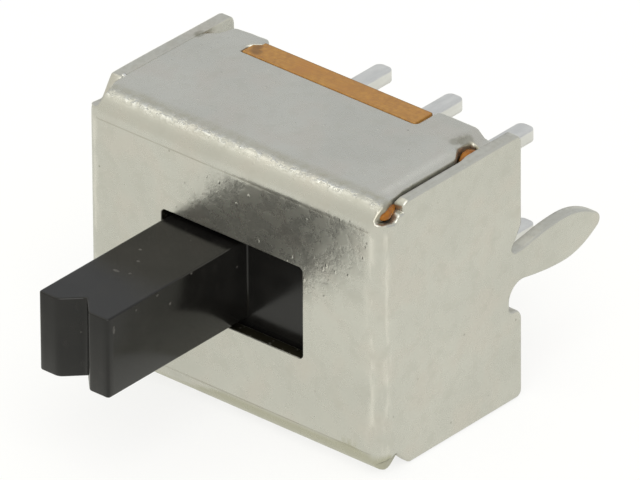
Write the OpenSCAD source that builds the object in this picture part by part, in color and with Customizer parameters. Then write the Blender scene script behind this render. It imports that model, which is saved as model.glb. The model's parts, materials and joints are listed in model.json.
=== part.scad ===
// Miniature two-pole slide switch for a circuit board, in millimetres.
// The origin is the middle of the pin pattern on the board plane. +Y goes into the board, the knob
// points along -Y and travels along X. The can lies on its lower flange, so +Z is up.

/* [Can] */
// Width of the can, along the travel
can_w = 8.2; // [7.8:0.1:10]
// Height of the can, across the two terminal rows
can_h = 6.5; // [6.2:0.1:8]
// Depth of the can's side walls, from the front face to the board
can_d = 4.6; // [4.4:0.1:6]
// Thickness of the can's sheet steel
sheet_t = 0.3; // [0.2:0.01:0.34]
// Inner radius of the bends into the upper and lower flanges
flange_bend_r = 0.24; // [0.1:0.02:0.5]
// Inner radius of the bends into the side walls
wall_bend_r = 0.02; // [0.01:0.01:0.2]
// How far the flanges' rear edges stay in front of the board
flange_setback = 0.38; // [0.2:0.02:0.6]
// How far the walls' upper and lower edges stay inside the flanges' outer faces
wall_inset = 0.03; // [0.01:0.01:0.1]
// How far the left wall's upper edge stands above the upper flange
left_wall_rise = 0.02; // [0.01:0.01:0.2]
// Radius of the walls' rear corners
wall_corner_r = 0.16; // [0.05:0.01:0.3]
// Gap between a flange's side edge and the wall beside it
flange_side_gap = 0.1; // [0.03:0.01:0.15]

/* [Corner reliefs] */
// Depth of the stepped corners, from the front face
relief_d = 0.92; // [0.7:0.02:1.2]
// Height of the step in a side wall's corner
relief_h = 0.38; // [0.36:0.01:0.5]
// Width that a flange loses at each front corner
relief_w = 0.16; // [0.1:0.01:0.25]
// Width of the relief slot beside a flange
relief_slot_w = 0.2; // [0.12:0.01:0.26]
// Distance of that slot from the front face
relief_slot_y = 0.2; // [0.1:0.01:0.3]

/* [Window] */
// Height of the window
window_h = 2.24; // [2.1:0.02:2.8]
// Radius of the window's corners
window_r = 0.08; // [0.04:0.01:0.15]
// How far the window and the knob sit above the middle of the can
window_rise = 0.04; // [-0.1:0.01:0.15]

/* [Flange notches] */
// Left end of the notch that takes the base's tab, from the middle of the can
notch_left = 2.81; // [2:0.05:3]
// Right end of that notch, from the middle of the can
notch_right = 2.15; // [1.5:0.05:3]
// Depth of the notch from the flange's rear edge
notch_d = 0.74; // [0.7:0.02:1]
// Width of a staked corner
stake_w = 0.62; // [0.3:0.02:0.7]
// Length of a staked corner
stake_l = 0.5; // [0.3:0.02:0.6]
// How far a staked corner is pressed in
stake_drop = 0.16; // [0.08:0.01:0.2]
// How far the nick in front of a staked corner reaches in from the flange's side
nick_w = 0.3; // [0.1:0.02:0.5]
// Length of that nick along the flange's side
nick_l = 0.74; // [0.4:0.02:0.9]
// How far the nick's front edge slants
nick_slant = 0.34; // [0.1:0.02:0.36]

/* [Board legs] */
// Length of a leg past the board plane
leg_l = 2.66; // [2.4:0.02:4]
// Width of a leg where it leaves the wall
leg_neck_w = 0.74; // [0.6:0.02:1]
// Width of a leg at its widest
leg_w = 1.1; // [1.02:0.01:1.5]
// Distance from the board plane to the widest place
leg_bulge_y = 1.45; // [1:0.05:2]
// Radius of a leg's tip
leg_tip_r = 0.2; // [0.1:0.01:0.35]
// Angle between a leg's edge and its middle line where the edge meets the tip
leg_taper_a = 35; // [15:1:40]
// How far the legs sit above the middle of the can
leg_rise = 0.02; // [-0.2:0.01:0.2]
// Depth of the relief cuts beside a leg's root
leg_cut_d = 0.35; // [0.2:0.01:0.5]
// Height of those cuts
leg_cut_h = 0.62; // [0.5:0.02:1]
// Radius of those cuts' corners at the leg
leg_root_r = 0.34; // [0.1:0.01:0.34]
// Radius of their other inner corners
leg_cut_r = 0.12; // [0.05:0.01:0.19]
// Radius of the wall's corners where those cuts end
leg_cut_end_r = 0.22; // [0.05:0.01:0.25]

/* [Knob and slider] */
// Width of the knob along the travel
knob_w = 1.95; // [1.4:0.05:2.1]
// Height of the knob
knob_h = 1.92; // [1.2:0.02:2]
// Length of the knob past the can's front face
knob_l = 4.1; // [2:0.1:8]
// Radius of the knob's long edges
knob_edge_r = 0.07; // [0.04:0.01:0.2]
// Width of the V groove across the knob's end
groove_w = 0.88; // [0.4:0.02:1.2]
// Travel of the slider
travel = 1.85; // [1.8:0.05:2.2]
// Thickness of the slider's plate
plate_t = 1.2; // [1:0.05:1.25]

/* [Terminals] */
// Spacing of the terminals along a row
pitch = 2.0; // [1.8:0.05:2.4]
// Spacing of the two rows
row_spacing = 2.34; // [2.3:0.02:2.8]
// How far the pin rows sit above the middle of the can
row_rise = 0.18; // [0:0.01:0.25]
// Thickness of the terminal strip
pin_t = 0.3; // [0.2:0.02:0.36]
// Width of a pin
pin_w = 0.45; // [0.36:0.01:0.7]
// Length of a pin past the board plane
pin_l = 2.75; // [1.5:0.05:4]
// Radius of the corners at a pin's end
pin_tip_r = 0.16; // [0.05:0.01:0.17]
// Width of the contact blade inside the switch
blade_w = 0.9; // [0.7:0.05:1]
// Width of the shoulder that stops a terminal on the base
shoulder_w = 1.2; // [1.1:0.05:1.4]
// Length of that shoulder
shoulder_l = 0.25; // [0.15:0.05:0.35]

/* [Base] */
// Thickness of the base
base_t = 0.6; // [0.5:0.02:0.64]
// Radius of the detent pits in the base
pit_r = 0.24; // [0.15:0.01:0.35]
// Depth of those pits
pit_d = 0.25; // [0.1:0.05:0.4]

/* [Moving contacts] */
// Width of a contact clip along the travel
clip_w = 3.0; // [2.6:0.05:3.2]
// Thickness of the clip's strip
clip_t = 0.12; // [0.08:0.01:0.14]
// Height of the clip at its bridge, between the middles of its leaves
clip_h = 0.72; // [0.62:0.02:0.74]
// Length of the clip from its bridge to its open end
clip_l = 1.95; // [1.7:0.05:2.1]
// Depth of the clip's pocket in the slider
pocket_d = 0.6; // [0.4:0.05:0.7]

/* [Detent] */
// Radius of the detent ball
ball_r = 0.45; // [0.38:0.01:0.46]
// Outer radius of the detent spring
spring_r = 0.4; // [0.3:0.01:0.42]
// Thickness of the spring's wire
wire_d = 0.12; // [0.08:0.01:0.14]
// Number of the spring's turns
spring_turns = 6; // [4:1:7]
// Wall of the boss that guides the ball
boss_wall = 0.17; // [0.12:0.01:0.2]
// Floor left in the slider's plate under the spring
spring_floor = 0.48; // [0.3:0.02:0.7]

/* [Clearances] */
// Between the slider and the can's flanges and front plate
slide_gap = 0.08; // [0.04:0.01:0.12]
// Between the slider's ends and the side walls at the ends of the travel
end_gap = 0.05; // [0.03:0.01:0.1]
// Between the knob and the window's side edges at the ends of the travel
window_gap = 0.08; // [0.03:0.01:0.1]
// Around the base inside the can
base_gap = 0.05; // [0.02:0.01:0.1]
// Between the contact blades' ends and the slider's plate
blade_gap = 0.15; // [0.05:0.01:0.3]
// Around a terminal in its slot
slot_gap = 0.02; // [0.01:0.005:0.04]
// Between a clip and the blades, and around the ball
contact_gap = 0.02; // [0.01:0.005:0.04]
// Around a clip in its pocket
pocket_gap = 0.04; // [0.02:0.01:0.05]

/* [Hidden] */
$fn = 48;
eps = 0.01;

tin = [0.77, 0.77, 0.73];
black = [0.16, 0.155, 0.155];
phenolic = [0.66, 0.45, 0.22];
silver = [0.8, 0.8, 0.78];
bronze = [0.78, 0.66, 0.5];
steel = [0.6, 0.61, 0.63];

// Planes of the can
can_z = -row_rise;
front_y = -can_d;
inner_y = front_y + sheet_t;
flange_y = -flange_setback;
notch_y = flange_y - notch_d;
wall_x = can_w / 2 - sheet_t;
wall_z = can_h / 2 - wall_inset;
inner_z = can_h / 2 - sheet_t;
window_w = knob_w + travel + 2 * window_gap;
flange_x = wall_x - flange_side_gap;

// The leg's edges run into the tip's circle as tangents
leg_tip_y = leg_l - leg_tip_r;
leg_end_y = leg_tip_y + leg_tip_r * sin(leg_taper_a);
leg_end_half = leg_tip_r * cos(leg_taper_a);

// The base bears on the front edges of the flanges' notches
base_front_y = notch_y;
base_rear_y = base_front_y + base_t;

// Slider, drawn at the left end of its travel
slider_x = -travel / 2;
plate_l = 2 * wall_x - travel - 2 * end_gap;
plate_h = 2 * (inner_z - slide_gap);
plate_y = inner_y + slide_gap;
plate_rear_y = plate_y + plate_t;
knob_end_y = front_y - knob_l;

// The contact blades reach from the base to just behind the slider's plate
blade_l = base_front_y - plate_rear_y - blade_gap;

// Contact clips in the slider's pockets
pocket_y = plate_rear_y - pocket_d;
pocket_h = clip_h + clip_t + 2 * pocket_gap;
clip_end_y = pocket_y + clip_l;
clip_touch_y = clip_end_y - 0.5;
clip_touch_z = pin_t / 2 + contact_gap + clip_t / 2;
clip_corner = 0.12;
clip_flare = 0.1;

// Detent in the middle of the slider
bore_r = ball_r + contact_gap;
boss_r = bore_r + boss_wall;
ball_y = base_front_y - contact_gap - ball_r;
boss_end_y = ball_y + ball_r / 2;
spring_seat_y = plate_y + spring_floor;
coil_r = spring_r - wire_d / 2;
coil_reach = ball_r + contact_gap + wire_d / 2;
coil_start_y = spring_seat_y + wire_d / 2;
coil_end_y = ball_y - sqrt(pow(coil_reach, 2) - pow(coil_r, 2));
coil_steps = 16;
wire_sides = 8;

// Box from corner a to corner b
module box(a, b) {
    translate(a) cube(b - a);
}

// Extrudes an outline in Y and Z along X, over the width w about the middle
module along_x(w) {
    translate([-w / 2, 0, 0]) rotate([90, 0, 90]) linear_extrude(w) children();
}

// Rectangle about the origin with corner radius r
module rounded_rect(w, h, r) {
    square([w - 2 * r, h], center = true);
    square([w, h - 2 * r], center = true);
    for (x = [-1, 1], y = [-1, 1])
        translate([x * (w / 2 - r), y * (h / 2 - r)]) circle(r);
}

// Rectangle of width w from y = 0 to y = d whose two corners at y = 0 have radius r
module tray_outline(w, d, r) {
    translate([-w / 2, r]) square([w, d - r]);
    translate([r - w / 2, 0]) square([w - 2 * r, d]);
    for (x = [-1, 1])
        translate([x * (w / 2 - r), r]) circle(r);
}

// Block of the can's outer form, set in by t all round, its rear at the board plane
module tray(t, rear) {
    depth = can_d - t + rear;
    intersection() {
        translate([0, front_y + t, -can_h / 2]) linear_extrude(can_h)
            tray_outline(can_w - 2 * t, depth, wall_bend_r + sheet_t - t);
        translate([0, front_y + t, 0]) along_x(can_w) mirror([1, -1])
            tray_outline(can_h - 2 * t, depth, flange_bend_r + sheet_t - t);
    }
}

// Step and slot that part a flange from the wall beside it at a front corner
module corner_relief() {
    step_x = can_w / 2 - relief_w;
    step_z = can_h / 2 - relief_h;
    slot_x = step_x - relief_slot_w / 2;
    slot_y = front_y + relief_slot_y + relief_slot_w / 2;
    relief_y = front_y + relief_d;
    box([step_x, front_y - eps, step_z], [can_w, relief_y, can_h]);
    box([slot_x - relief_slot_w / 2, slot_y, step_z], [step_x + eps, relief_y, can_h]);
    translate([slot_x, slot_y, step_z]) cylinder(h = can_h, r = relief_slot_w / 2);
    box([flange_x, relief_y - eps, inner_z - eps], [wall_x, eps, can_h]);
}

// What a fillet of radius r leaves in a corner at the origin
module fillet(r) {
    difference() {
        translate([-eps, -eps]) square(r + eps);
        translate([r, r]) circle(r);
    }
}

// Cut beside a leg's root, above the leg
module leg_cut() {
    translate([0, 0, leg_neck_w / 2]) along_x(2 * can_w) {
        translate([-leg_cut_d, 0]) difference() {
            square([2 * leg_cut_d, leg_cut_h]);
            fillet(leg_root_r);
            translate([0, leg_cut_h]) mirror([0, 1]) fillet(leg_cut_r);
        }
        translate([0, leg_cut_h]) mirror([1, 0]) fillet(leg_cut_end_r);
    }
}

// Half width of a leg at distance y from the board plane, up to where the tip's circle begins
function leg_half(y) = y < leg_bulge_y
    ? (leg_neck_w + (leg_w - leg_neck_w) * sin(90 * y / leg_bulge_y)) / 2
    : let (
        reach = leg_end_y - leg_bulge_y,
        t = (y - leg_bulge_y) / reach,
        fall = 3 * pow(t, 2) - 2 * pow(t, 3)
    )
    leg_w / 2 * (1 - fall) + leg_end_half * fall
        + tan(leg_taper_a) * reach * (pow(t, 2) - pow(t, 3));

// Leaf-shaped leg in the plane of the right wall
module leg() {
    steps = 20;
    root = [-leg_cut_d - sheet_t, leg_neck_w / 2];
    edge = [for (i = [0 : steps]) [leg_end_y * i / steps, leg_half(leg_end_y * i / steps)]];
    upper = concat([root], edge);
    lower = [for (i = [len(upper) - 1 : -1 : 0]) [upper[i][0], -upper[i][1]]];
    translate([can_w / 2 - sheet_t / 2, 0, leg_rise]) along_x(sheet_t) {
        polygon(concat(upper, lower));
        translate([leg_tip_y, 0]) circle(leg_tip_r);
    }
}

// Nick in the upper flange's right side, in front of its staked corner
module stake_nick() {
    nick_x = flange_x - nick_w;
    nick_rear_y = flange_y - stake_l;
    nick_front_y = nick_rear_y - nick_l;
    translate([0, 0, inner_z - eps]) linear_extrude(sheet_t + 2 * eps)
        polygon([
            [nick_x, nick_rear_y], [nick_x, nick_front_y + nick_slant], [flange_x, nick_front_y],
            [wall_x, nick_front_y], [wall_x, nick_rear_y]
        ]);
}

// Dent pressed into the right rear corner of the upper flange
module stake_dent() {
    translate([flange_x - stake_w / 2, 0, 0]) along_x(stake_w + 2 * eps)
        polygon([
            [flange_y - stake_l, can_h / 2],
            [flange_y + eps, can_h / 2 - stake_drop],
            [flange_y + eps, can_h / 2 + eps],
            [flange_y - stake_l, can_h / 2 + eps]
        ]);
}

// Lip that the dent leaves behind the base's rear face
module stake_lip() {
    box([flange_x - stake_w, base_rear_y, inner_z - stake_drop], [flange_x, flange_y, inner_z + eps]);
}

// One folded sheet: front plate, two flanges, two side walls and their legs
module frame() {
    color(tin) translate([0, 0, can_z]) {
        difference() {
            tray(0, 0);
            tray(sheet_t, 1);
            translate([0, front_y + sheet_t / 2, window_rise]) rotate([90, 0, 0])
                linear_extrude(2 * sheet_t, center = true) rounded_rect(window_w, window_h, window_r);
            box([-wall_x, flange_y, -can_h], [wall_x, eps, can_h]);
            box([-notch_left, notch_y, -can_h], [notch_right, eps, can_h]);
            for (x = [0, 1], z = [0, 1])
                mirror([x, 0, 0]) mirror([0, 0, z]) {
                    corner_relief();
                    stake_nick();
                    stake_dent();
                    box([wall_x, front_y - eps, wall_z], [can_w, eps, can_h]);
                    wall_corner(wall_z);
                }
            translate([0, 0, leg_rise])
                for (z = [0, 1]) mirror([0, 0, z]) leg_cut();
        }
        for (x = [0, 1]) mirror([x, 0, 0]) leg();
        for (x = [0, 1], z = [0, 1]) mirror([x, 0, 0]) mirror([0, 0, z]) stake_lip();
        left_wall_edge();
    }
}

// Rounds a side wall's rear corner under the height z
module wall_corner(z) {
    translate([can_w / 2, -wall_corner_r, z - wall_corner_r]) along_x(2 * sheet_t + eps)
        difference() {
            square(2 * wall_corner_r);
            circle(wall_corner_r);
        }
}

// Strip by which the left wall stands above the upper flange
module left_wall_edge() {
    high = can_h / 2 + left_wall_rise;
    difference() {
        box([-can_w / 2, front_y + relief_d, inner_z], [-wall_x, 0, high]);
        mirror([1, 0, 0]) wall_corner(high);
    }
}

// Outline of a terminal seen from above: pin, shoulder and contact blade
module terminal_outline() {
    blade_y = base_front_y - blade_l;
    neck = pin_w / 2 - pin_tip_r;
    translate([0, blade_y]) tray_outline(blade_w, blade_l, pin_tip_r);
    translate([-shoulder_w / 2, base_front_y - shoulder_l]) square([shoulder_w, shoulder_l]);
    translate([-pin_w / 2, base_front_y - eps])
        square([pin_w, pin_l - pin_tip_r - base_front_y + eps]);
    translate([-neck, pin_l - 2 * pin_tip_r]) square([2 * neck, 2 * pin_tip_r]);
    for (x = [-1, 1]) translate([x * neck, pin_l - pin_tip_r]) circle(pin_tip_r);
}

// Terminal of column x (-1, 0 or 1) and row z (-1 or 1)
module terminal(x, z) {
    color(silver) translate([x * pitch, 0, z * row_spacing / 2])
        linear_extrude(pin_t, center = true) terminal_outline();
}

// Laminate plate with a tab in each flange's notch
module base() {
    tab_left = base_gap - notch_left;
    tab_right = notch_right - base_gap;
    plate_x = wall_x - base_gap;
    plate_z = inner_z - base_gap;
    color(phenolic) difference() {
        translate([0, 0, can_z]) {
            box([-plate_x, base_front_y, -plate_z], [plate_x, base_rear_y, plate_z]);
            box([tab_left, base_front_y, -can_h / 2], [tab_right, base_rear_y, can_h / 2]);
        }
        for (x = [-1 : 1], z = [-1, 1])
            translate([x * pitch, (base_front_y + base_rear_y) / 2, z * row_spacing / 2])
                cube([pin_w + 2 * slot_gap, 2 * base_t, pin_t + 2 * slot_gap], center = true);
        for (x = [-1, 1])
            translate([x * travel / 2, base_front_y - eps, 0])
                rotate([-90, 0, 0]) cylinder(h = pit_d + eps, r = pit_r);
    }
}

// Moulded slider: knob, plate behind the window, clip pockets and detent boss
module slider() {
    color(black) translate([slider_x, 0, 0]) difference() {
        union() {
            translate([0, 0, can_z]) {
                box([-plate_l / 2, plate_y, -plate_h / 2], [plate_l / 2, plate_rear_y, plate_h / 2]);
                translate([0, plate_y + eps, window_rise]) rotate([90, 0, 0])
                    linear_extrude(plate_y + eps - knob_end_y) rounded_rect(knob_w, knob_h, knob_edge_r);
            }
            translate([0, boss_end_y, 0]) rotate([90, 0, 0])
                cylinder(h = boss_end_y - plate_rear_y + eps, r = boss_r);
        }
        translate([0, knob_end_y, can_z]) linear_extrude(2 * knob_h, center = true)
            polygon([
                [-groove_w / 2 - eps, -eps],
                [groove_w / 2 + eps, -eps],
                [0, groove_w / 2]
            ]);
        translate([0, boss_end_y + eps, 0]) rotate([90, 0, 0])
            cylinder(h = boss_end_y + eps - spring_seat_y, r = bore_r);
        for (z = [-1, 1])
            translate([0, pocket_y + pocket_d, z * row_spacing / 2])
                cube([clip_w + 2 * pocket_gap, 2 * pocket_d, pocket_h], center = true);
    }
}

// Point i of a path moved sideways by s, mitred between its two neighbours
function side_normal(a, b) = [a[1] - b[1], b[0] - a[0]] / norm(b - a);
function shifted(path, i, s) =
    let (
        last = len(path) - 1,
        before = side_normal(path[max(i - 1, 0)], path[max(i, 1)]),
        after = side_normal(path[min(i, last - 1)], path[min(i + 1, last)])
    )
    path[i] + s * (before + after) / (1 + before * after);

// Strip of thickness t along a path
module strip(path, t) {
    last = len(path) - 1;
    polygon(concat(
        [for (i = [0 : last]) shifted(path, i, t / 2)],
        [for (i = [last : -1 : 0]) shifted(path, i, -t / 2)]
    ));
}

// Clip whose two leaves grip the blades of one row
module contact(z) {
    bridge_y = pocket_y + clip_t / 2;
    half = [
        [clip_end_y - clip_t / 2, clip_touch_z + clip_flare],
        [clip_touch_y, clip_touch_z],
        [bridge_y + clip_corner, clip_h / 2],
        [bridge_y, clip_h / 2 - clip_corner]
    ];
    other = [for (i = [len(half) - 1 : -1 : 0]) [half[i][0], -half[i][1]]];
    color(bronze) translate([slider_x, 0, z * row_spacing / 2])
        along_x(clip_w) strip(concat(half, other), clip_t);
}

// Wire ring i of the coil spring, as wire_sides points
function wire_ring(i, count) =
    let (
        turn = 360 * spring_turns * i / count,
        y = coil_start_y + (coil_end_y - coil_start_y) * i / count
    )
    [for (j = [0 : wire_sides - 1])
        let (
            a = 360 * j / wire_sides,
            r = coil_r + wire_d / 2 * cos(a)
        )
        [r * cos(turn), y + wire_d / 2 * sin(a), r * sin(turn)]];

module detent_spring() {
    count = coil_steps * spring_turns;
    rings = [for (i = [0 : count]) wire_ring(i, count)];
    sides = [for (i = [0 : count - 1], j = [0 : wire_sides - 1])
        let (k = (j + 1) % wire_sides)
        [i * wire_sides + j, i * wire_sides + k, (i + 1) * wire_sides + k, (i + 1) * wire_sides + j]];
    start = [for (j = [wire_sides - 1 : -1 : 0]) j];
    end = [for (j = [0 : wire_sides - 1]) count * wire_sides + j];
    color(steel) translate([slider_x, 0, 0])
        polyhedron([for (ring = rings) each ring], concat([start], sides, [end]));
}

module detent_ball() {
    color(steel) translate([slider_x, ball_y, 0]) sphere(ball_r);
}

frame();
base();
slider();
terminal(-1, 1);  // terminal_upper_left
terminal(0, 1);  // terminal_upper_middle
terminal(1, 1);  // terminal_upper_right
terminal(-1, -1);  // terminal_lower_left
terminal(0, -1);  // terminal_lower_middle
terminal(1, -1);  // terminal_lower_right
contact(1);  // contact_upper
contact(-1);  // contact_lower
detent_spring();
detent_ball();
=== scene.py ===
"""Looks of the miniature slide switch: folded can, black slider, laminate base, silvered pins.

Everything is built in millimetres in the CAD frame and scaled to metres when a mesh is made.
"""

import json
import math

import bmesh
import bpy
import numpy as np
from mathutils import Matrix, Vector
from mathutils.geometry import delaunay_2d_cdt


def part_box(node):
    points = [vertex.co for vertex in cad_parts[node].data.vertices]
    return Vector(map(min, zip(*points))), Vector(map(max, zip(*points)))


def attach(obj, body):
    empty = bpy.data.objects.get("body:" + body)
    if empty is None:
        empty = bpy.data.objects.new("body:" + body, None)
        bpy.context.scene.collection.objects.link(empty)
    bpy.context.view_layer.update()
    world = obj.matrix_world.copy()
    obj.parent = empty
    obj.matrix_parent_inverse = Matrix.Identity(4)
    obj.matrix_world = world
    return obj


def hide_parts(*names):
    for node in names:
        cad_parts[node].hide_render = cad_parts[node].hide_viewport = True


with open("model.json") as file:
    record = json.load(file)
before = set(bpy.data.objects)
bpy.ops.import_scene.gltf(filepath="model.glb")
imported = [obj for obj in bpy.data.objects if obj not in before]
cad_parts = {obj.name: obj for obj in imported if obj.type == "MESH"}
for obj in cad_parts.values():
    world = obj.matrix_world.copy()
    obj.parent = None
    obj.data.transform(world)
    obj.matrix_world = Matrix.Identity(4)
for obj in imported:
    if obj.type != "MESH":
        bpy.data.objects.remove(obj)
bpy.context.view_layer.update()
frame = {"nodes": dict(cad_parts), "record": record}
MM = 0.001

# ---------------------------------------------------------------- sizes, in millimetres

SHEET = 0.3              # thickness of the can's sheet
FLANGE_BEND = 0.24       # inner radius of the bends into the flanges
WALL_BEND = 0.02         # inner radius of the bends into the side walls
LEFT_RISE = 0.02         # how far the left wall's edge stands above the upper flange
LEFT_WIDE = 0.068        # how far the left wall stands out past its even place
LEFT_LEAN = 0.1          # how far its upper edge leans out past that
WALL_INSET = 0.03        # how far the walls' edges stay inside the flanges' faces
FLANGE_SETBACK = 0.38    # from the flanges' rear edges to the board plane
NOTCH_DEPTH = 0.74       # of the notch that takes the base's tab
NOTCH_ENDS = (-2.81, 2.15)     # the notch's left and right ends
FLANGE_GAP = 0.13        # between a flange's side edge and the wall beside it
WINDOW_HEIGHT = 2.24
WINDOW_RISE = 0.04       # of the window and the knob above the can's middle
WINDOW_RADIUS = 0.1      # of the window's corners
WINDOW_GAP = 0.08        # between the knob and the window at the ends of the travel
WINDOW_SHIFT = -0.05     # of the window's middle along the travel
KNOB_WIDTH = 1.95
KNOB_HEIGHT = 1.92
LEG_NECK = 0.74          # width of a leg at its root
LEG_WIDTH = 1.1          # width of a leg at its widest
LEG_BULGE = 1.45         # from the board plane to that place
LEG_TIP = 0.2            # radius of a leg's tip
LEG_TAPER = math.radians(35)   # of a leg's edge to its middle line, at the tip
LEG_RISE = 0.02          # of the legs above the can's middle
LEG_CUT = (0.35, 0.62)   # depth and height of the cuts beside a leg
LOWER_CUT = 0.68         # height of the lower one of them
CUT_SLANT = (-0.17, 0.26)      # depth and height above the leg of a bend in the upper one's end
LEG_CUT_ROUND = (0.1, 0.42)    # radii of its corners, away from the leg and at it
LEG_ROOT_END = 0.12      # depth from which a leg's outline is free of the cuts' corners
WALL_END = 0.05          # how far the walls' rear edges pass the board plane
LEFT_SHORT = 0.1         # how much shorter the left wall is along its upper edge
NICK = (-1.62, -1.2, -0.72, -0.9)   # depths at which the nicks beside the flanges' corners turn
HOOK = 0.25              # reach of the burr that laps over the base at the notch's left end
EDGE_ROUND = 0.055       # rounding of the sheet's outer edges
BURR_ROUND = 0.02        # rounding of the sheet's inner edges
WINDOW_ROUND = 0.02      # rounding of the window's edges


def mm_box(node):
    """Corners of a CAD node's box, in millimetres."""
    lo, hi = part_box(node)
    return np.array(lo) / MM, np.array(hi) / MM


CAN_LO, CAN_HI = mm_box("frame")
CAN_HALF = (CAN_HI[0] - CAN_LO[0]) / 2
FRONT_Y = CAN_LO[1]
LEG_END = CAN_HI[1]
CAN_TOP = CAN_HI[2] - LEFT_RISE
CAN_Z = (CAN_TOP + CAN_LO[2]) / 2
CAN_RISE = (CAN_TOP - CAN_LO[2]) / 2
SLIDER_LO, SLIDER_HI = mm_box("slider")
TRAVEL = frame["record"]["behaviour"]["joints"][0]["range_m"][1] / MM
WINDOW_HALF = (KNOB_WIDTH + TRAVEL) / 2 + WINDOW_GAP
WINDOW_X = (WINDOW_SHIFT - WINDOW_HALF, WINDOW_SHIFT + WINDOW_HALF)

# ---------------------------------------------------------------- mesh helpers

ARC_STEP = 0.05          # longest chord of a corner's arc
ARC_CHORDS = 3           # fewest chords of one
STRAIGHT = 1.55          # half angle, in radians, from which a corner is passed over
SHORTEST = 1e-5          # shortest stretch of an outline that is kept
RING_SHARES = (0, 0.29, 1, 1.5)   # of a loop's rounding at which rings of points follow it
GRID_CLEAR = 0.035       # least distance of a plate's inner points from its innermost rings
WELD = 1e-6              # distance at which points of a plate's outline are one
FLAT_DEPTH = 9           # stands for the depth of inner points, past every rounding


def mesh_object(name, verts, faces, materials, indices=None):
    """A new object from points in millimetres."""
    mesh = bpy.data.meshes.new(name)
    mesh.from_pydata([tuple(v) for v in np.asarray(verts) * MM], [], [list(f) for f in faces])
    mesh.validate()
    for material in materials:
        mesh.materials.append(material)
    if indices is not None:
        mesh.polygons.foreach_set("material_index", indices)
    mesh.polygons.foreach_set("use_smooth", [True] * len(mesh.polygons))
    obj = bpy.data.objects.new(name, mesh)
    bpy.context.scene.collection.objects.link(obj)
    return obj


def point_attribute(obj, name, values):
    """Gives each point of a mesh a value that materials read by name."""
    layer = obj.data.attributes.new(name, "FLOAT", "POINT")
    layer.data.foreach_set("value", np.asarray(values, dtype=np.float32))


def smoothstep(a, b, x):
    """0 below a, 1 above b, smooth between them."""
    t = np.clip((np.asarray(x, dtype=float) - a) / (b - a), 0, 1)
    return t * t * (3 - 2 * t)


def filleted(corners):
    """Closed outline through corners (x, y, radius), with an arc at each that has a radius."""
    points = []
    count = len(corners)
    for i, (x, y, radius) in enumerate(corners):
        here = np.array([x, y])
        before = np.array(corners[i - 1][:2]) - here
        after = np.array(corners[(i + 1) % count][:2]) - here
        to_before = before / np.linalg.norm(before)
        to_after = after / np.linalg.norm(after)
        half = math.acos(np.clip(to_before @ to_after, -1, 1)) / 2
        if radius == 0 or half > STRAIGHT:
            points.append(here)
            continue
        reach = radius / math.tan(half)
        inwards = (to_before + to_after) / np.linalg.norm(to_before + to_after)
        centre = here + inwards * radius / math.sin(half)
        start = here + to_before * reach - centre
        turn = math.pi - 2 * half
        side = 1 if to_before[0] * to_after[1] - to_before[1] * to_after[0] < 0 else -1
        steps = max(ARC_CHORDS, math.ceil(radius * turn / ARC_STEP))
        for k in range(steps + 1):
            a = side * turn * k / steps
            spin = np.array([[math.cos(a), -math.sin(a)], [math.sin(a), math.cos(a)]])
            points.append(centre + spin @ start)
    return points


def resampled(points, step):
    """The closed outline with no stretch longer than step."""
    out = []
    for i, p in enumerate(points):
        q = points[(i + 1) % len(points)]
        length = np.linalg.norm(q - p)
        if length < SHORTEST:
            continue
        pieces = max(1, math.ceil(length / step))
        out += [p + (q - p) * k / pieces for k in range(pieces)]
    return np.array(out)


def inset(loop, distance):
    """The closed loop moved to its left by a small distance."""
    before = loop - np.roll(loop, 1, axis=0)
    after = np.roll(loop, -1, axis=0) - loop
    before /= np.linalg.norm(before, axis=1)[:, None]
    after /= np.linalg.norm(after, axis=1)[:, None]
    n0 = np.stack([-before[:, 1], before[:, 0]], axis=1)
    n1 = np.stack([-after[:, 1], after[:, 0]], axis=1)
    mitre = (n0 + n1) / (1 + np.clip((n0 * n1).sum(axis=1), -0.5, 1))[:, None]
    return loop + mitre * distance


def inside(points, loop):
    """Whether each point lies inside the closed loop."""
    x, y = points[:, 0][:, None], points[:, 1][:, None]
    x0, y0 = loop[:, 0][None], loop[:, 1][None]
    x1, y1 = np.roll(loop[:, 0], -1)[None], np.roll(loop[:, 1], -1)[None]
    crosses = (y0 > y) != (y1 > y)
    safe = np.where(y1 == y0, 1, y1 - y0)
    return (crosses & (x < (x1 - x0) * (y - y0) / safe + x0)).sum(axis=1) % 2 == 1


def clear_grid(grid, rings):
    """The points of the grid that lie on the plate, clear of every loop's innermost ring."""
    keep = inside(grid, rings[0][-1])
    for loop_rings in rings[1:]:
        keep &= ~inside(grid, loop_rings[-1])
    grid = grid[keep]
    border = np.concatenate([loop_rings[-1] for loop_rings in rings])
    near = np.array([np.min((border[:, 0] - p[0]) ** 2 + (border[:, 1] - p[1]) ** 2) for p in grid])
    return grid[near > GRID_CLEAR ** 2]


def plate_faces(corners, faces, rings):
    """The triangles that lie on the plate, all counter-clockwise."""
    centres = corners[faces].mean(axis=1)
    within = inside(centres, rings[0][0])
    for loop_rings in rings[1:]:
        within &= ~inside(centres, loop_rings[0])
    faces = faces[within]
    a, b, c = (corners[faces[:, k]] for k in range(3))
    area = (b[:, 0] - a[:, 0]) * (c[:, 1] - a[:, 1]) - (b[:, 1] - a[:, 1]) * (c[:, 0] - a[:, 0])
    faces[area < 0] = faces[area < 0][:, ::-1]
    return faces


def face_height(depth, radius, thickness):
    """Height of a plate's face at a depth inside an outline with a rounding of that radius."""
    lack = np.clip(radius - depth, 0, radius)
    return thickness / 2 - (radius - np.sqrt(np.maximum(radius ** 2 - lack ** 2, 0)))


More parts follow.
